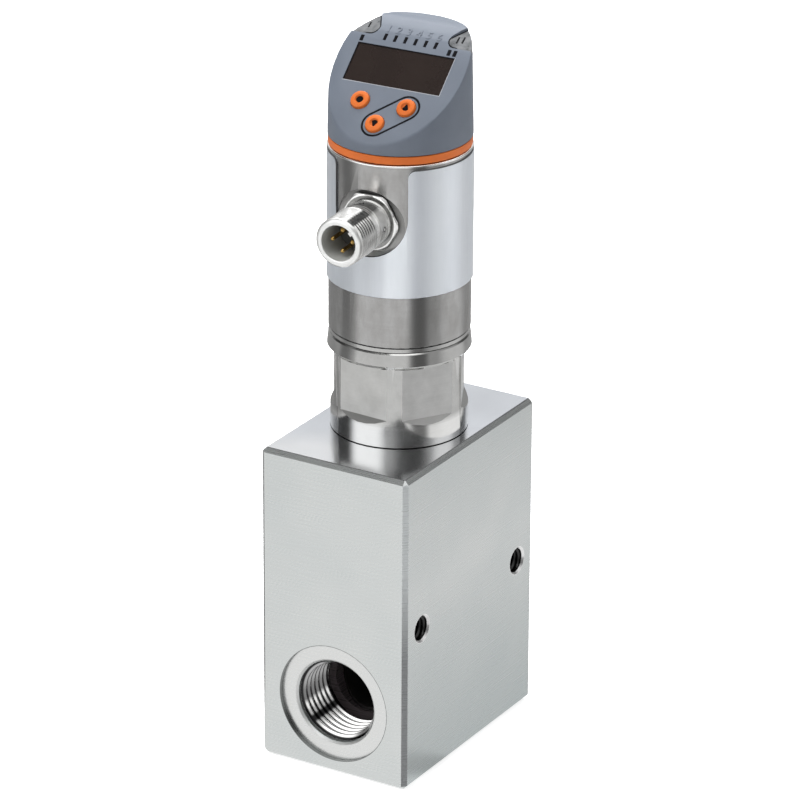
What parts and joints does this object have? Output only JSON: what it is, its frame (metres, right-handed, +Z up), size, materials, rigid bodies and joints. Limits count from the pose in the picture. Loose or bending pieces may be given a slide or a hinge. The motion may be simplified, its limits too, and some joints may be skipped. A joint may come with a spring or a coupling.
{
  "type": "flow sensor",
  "caption": "Inline flow sensor: steel block with threaded ports and fixing holes, hexagon neck, swivelling housing with round cable socket, and inclined display head with buttons.",
  "frame": {"origin": "middle of the block's flat underside", "axes": "+Z up along the sensor's axis, -Y out of the inlet port, +X out of the face with the fixing holes"},
  "size_m": [0.04, 0.0615, 0.1772],
  "materials": {
    "steel": "satin machined stainless steel",
    "bright_steel": "bright turned stainless steel",
    "label_steel": "satin silver label plate",
    "grey_plastic": "fine-textured grey moulding",
    "orange_plastic": "satin orange moulding",
    "smoked_window": "smoked satin window",
    "lens_plastic": "frosted grey light window",
    "black_plastic": "matte black",
    "socket_plastic": "matte dark grey",
    "rubber": "matte black rubber",
    "gold": "gold-plated brass",
    "board": "green circuit board",
    "magnet": "dark grey magnet",
    "spring_steel": "drawn spring wire",
    "guide_plastic": "natural acetal"
  },
  "bodies": {
    "base": {"flow_block": "steel", "flow_insert": "guide_plastic", "valve_seat": "bright_steel", "neck": "steel", "block_seal": "rubber", "guide_bush": "guide_plastic", "swivel_washer": "bright_steel", "swivel_seal": "rubber", "neck_circlip": "spring_steel", "sensor_board": "board"},
    "valve_piston": {"piston": "bright_steel", "piston_magnet": "magnet", "piston_spring": "spring_steel"},
    "housing": {"sensor_housing": "steel", "label_plate": "label_steel", "socket_shell": "bright_steel", "socket_gasket": "rubber", "socket_locknut": "bright_steel", "socket_insert": "socket_plastic", "contact_pin_1": "gold", "contact_pin_2": "gold", "contact_pin_3": "gold", "contact_pin_4": "gold", "main_board": "board", "orange_ring": "orange_plastic"},
    "head": {"display_head": "grey_plastic", "display_window": "smoked_window", "display_module": "black_plastic", "light_bar": "lens_plastic", "display_board": "board", "switch_set": "black_plastic", "switch_up": "black_plastic", "switch_down": "black_plastic", "status_lens_right": "lens_plastic", "status_lens_left": "lens_plastic"},
    "set_button": {"button_set": "orange_plastic"},
    "up_button": {"button_up": "orange_plastic"},
    "down_button": {"button_down": "orange_plastic"}
  },
  "joints": [
    {"name": "piston_lift", "type": "slide", "parent": "base", "child": "valve_piston", "axis": [0, 0, 1], "range_m": [0, 0.012], "stiffness_N_per_m": 150, "springref_m": -0.005, "deforming": ["piston_spring"]},
    {"name": "housing_swivel", "type": "hinge", "parent": "base", "child": "housing", "pos_m": [0, 0, 0.1053], "axis": [0, 0, 1], "range_deg": [-172.5, 172.5]},
    {"name": "head_swivel", "type": "hinge", "parent": "housing", "child": "head", "pos_m": [0, 0, 0.1522], "axis": [0, 0, 1], "range_deg": [-172.5, 172.5]},
    {"name": "set_press", "type": "slide", "parent": "head", "child": "set_button", "axis": [-0.035, 0.6458, -0.7627], "range_m": [0, 0.0005], "stiffness_N_per_m": 3000, "springref_m": -0.0001},
    {"name": "up_press", "type": "slide", "parent": "head", "child": "up_button", "axis": [-0.035, 0.6458, -0.7627], "range_m": [0, 0.0005], "stiffness_N_per_m": 3000, "springref_m": -0.0001},
    {"name": "down_press", "type": "slide", "parent": "head", "child": "down_button", "axis": [-0.035, 0.6458, -0.7627], "range_m": [0, 0.0005], "stiffness_N_per_m": 3000, "springref_m": -0.0001}
  ]
}
